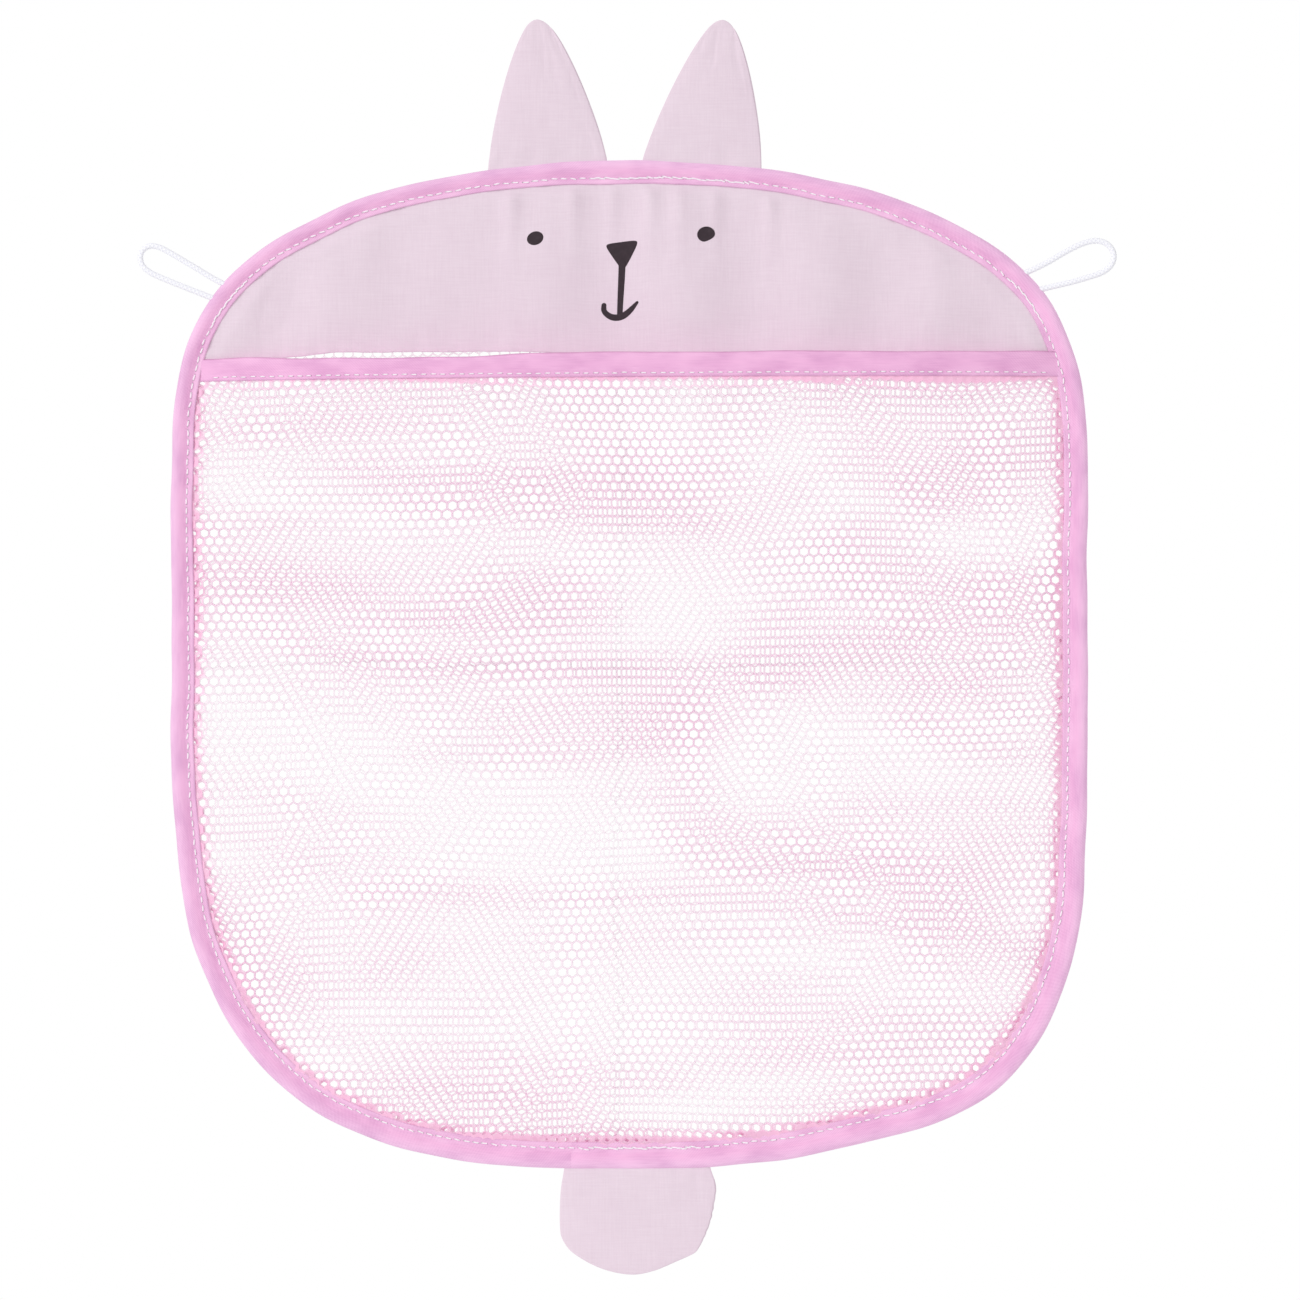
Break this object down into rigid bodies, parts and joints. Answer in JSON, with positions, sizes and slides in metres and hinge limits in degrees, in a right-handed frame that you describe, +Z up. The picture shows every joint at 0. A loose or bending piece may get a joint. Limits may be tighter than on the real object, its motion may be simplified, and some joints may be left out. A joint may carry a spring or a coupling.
{
  "type": "hanging mesh bath toy organizer",
  "caption": "Wall-hung rabbit-shaped net pocket for bath toys: cloth face with printed eyes, tape-bound edge, padded ears and tail, and cord loops for hooks.",
  "frame": {"origin": "on the plane of the wall, midway between the two loops and level with the hooks that hold them", "axes": "+Z up, +X to the right seen from the front, +Y from the front towards the wall"},
  "size_m": [0.3504, 0.0211, 0.4491],
  "materials": {
    "net_yarn": "knitted polyester net, pale pink",
    "woven_cloth": "fine plain weave, pale pink",
    "satin_tape": "folded satin tape, pink",
    "braided_cord": "round braided cord, white",
    "wadding": "needled polyester wadding, white"
  },
  "bodies": {
    "bag": {"back_net": "net_yarn", "face_panel": "woven_cloth", "edge_binding": "satin_tape"},
    "pocket": {"pocket_net": "net_yarn", "pocket_rim": "satin_tape"},
    "left_ear": {"left_ear_front": "woven_cloth", "left_ear_wadding": "wadding", "left_ear_back": "woven_cloth"},
    "right_ear": {"right_ear_front": "woven_cloth", "right_ear_wadding": "wadding", "right_ear_back": "woven_cloth"},
    "tail": {"tail_front": "woven_cloth", "tail_wadding": "wadding", "tail_back": "woven_cloth"},
    "left_loop": {"left_loop": "braided_cord"},
    "right_loop": {"right_loop": "braided_cord"}
  },
  "joints": [
    {"name": "pocket_mouth", "type": "hinge", "parent": "bag", "child": "pocket", "pos_m": [0, -0.0033, -0.3181], "axis": [1, 0, 0], "range_deg": [0, 9], "stiffness_Nm_per_rad": 0.05, "springref_deg": -3.44},
    {"name": "left_ear_fold", "type": "hinge", "parent": "bag", "child": "left_ear", "pos_m": [-0.02781, -0.00205, 0.03634], "axis": [0.9975, 0, 0.071], "range_deg": [-120, 120], "stiffness_Nm_per_rad": 0.003},
    {"name": "right_ear_fold", "type": "hinge", "parent": "bag", "child": "right_ear", "pos_m": [0.02781, -0.00205, 0.03634], "axis": [0.9975, 0, -0.071], "range_deg": [-120, 120], "stiffness_Nm_per_rad": 0.003},
    {"name": "tail_fold", "type": "hinge", "parent": "bag", "child": "tail", "pos_m": [0.0025, -0.00205, -0.3297], "axis": [-1, 0, 0], "range_deg": [-120, 120]},
    {"name": "left_loop_swing", "type": "hinge", "parent": "bag", "child": "left_loop", "pos_m": [-0.14934, -0.00205, -0.00981], "axis": [0.6309, 0, 0.7758], "range_deg": [-120, 120], "stiffness_Nm_per_rad": 0.0005},
    {"name": "right_loop_swing", "type": "hinge", "parent": "bag", "child": "right_loop", "pos_m": [0.14666, -0.00205, -0.00668], "axis": [0.6723, 0, -0.7403], "range_deg": [-120, 120], "stiffness_Nm_per_rad": 0.0005}
  ]
}
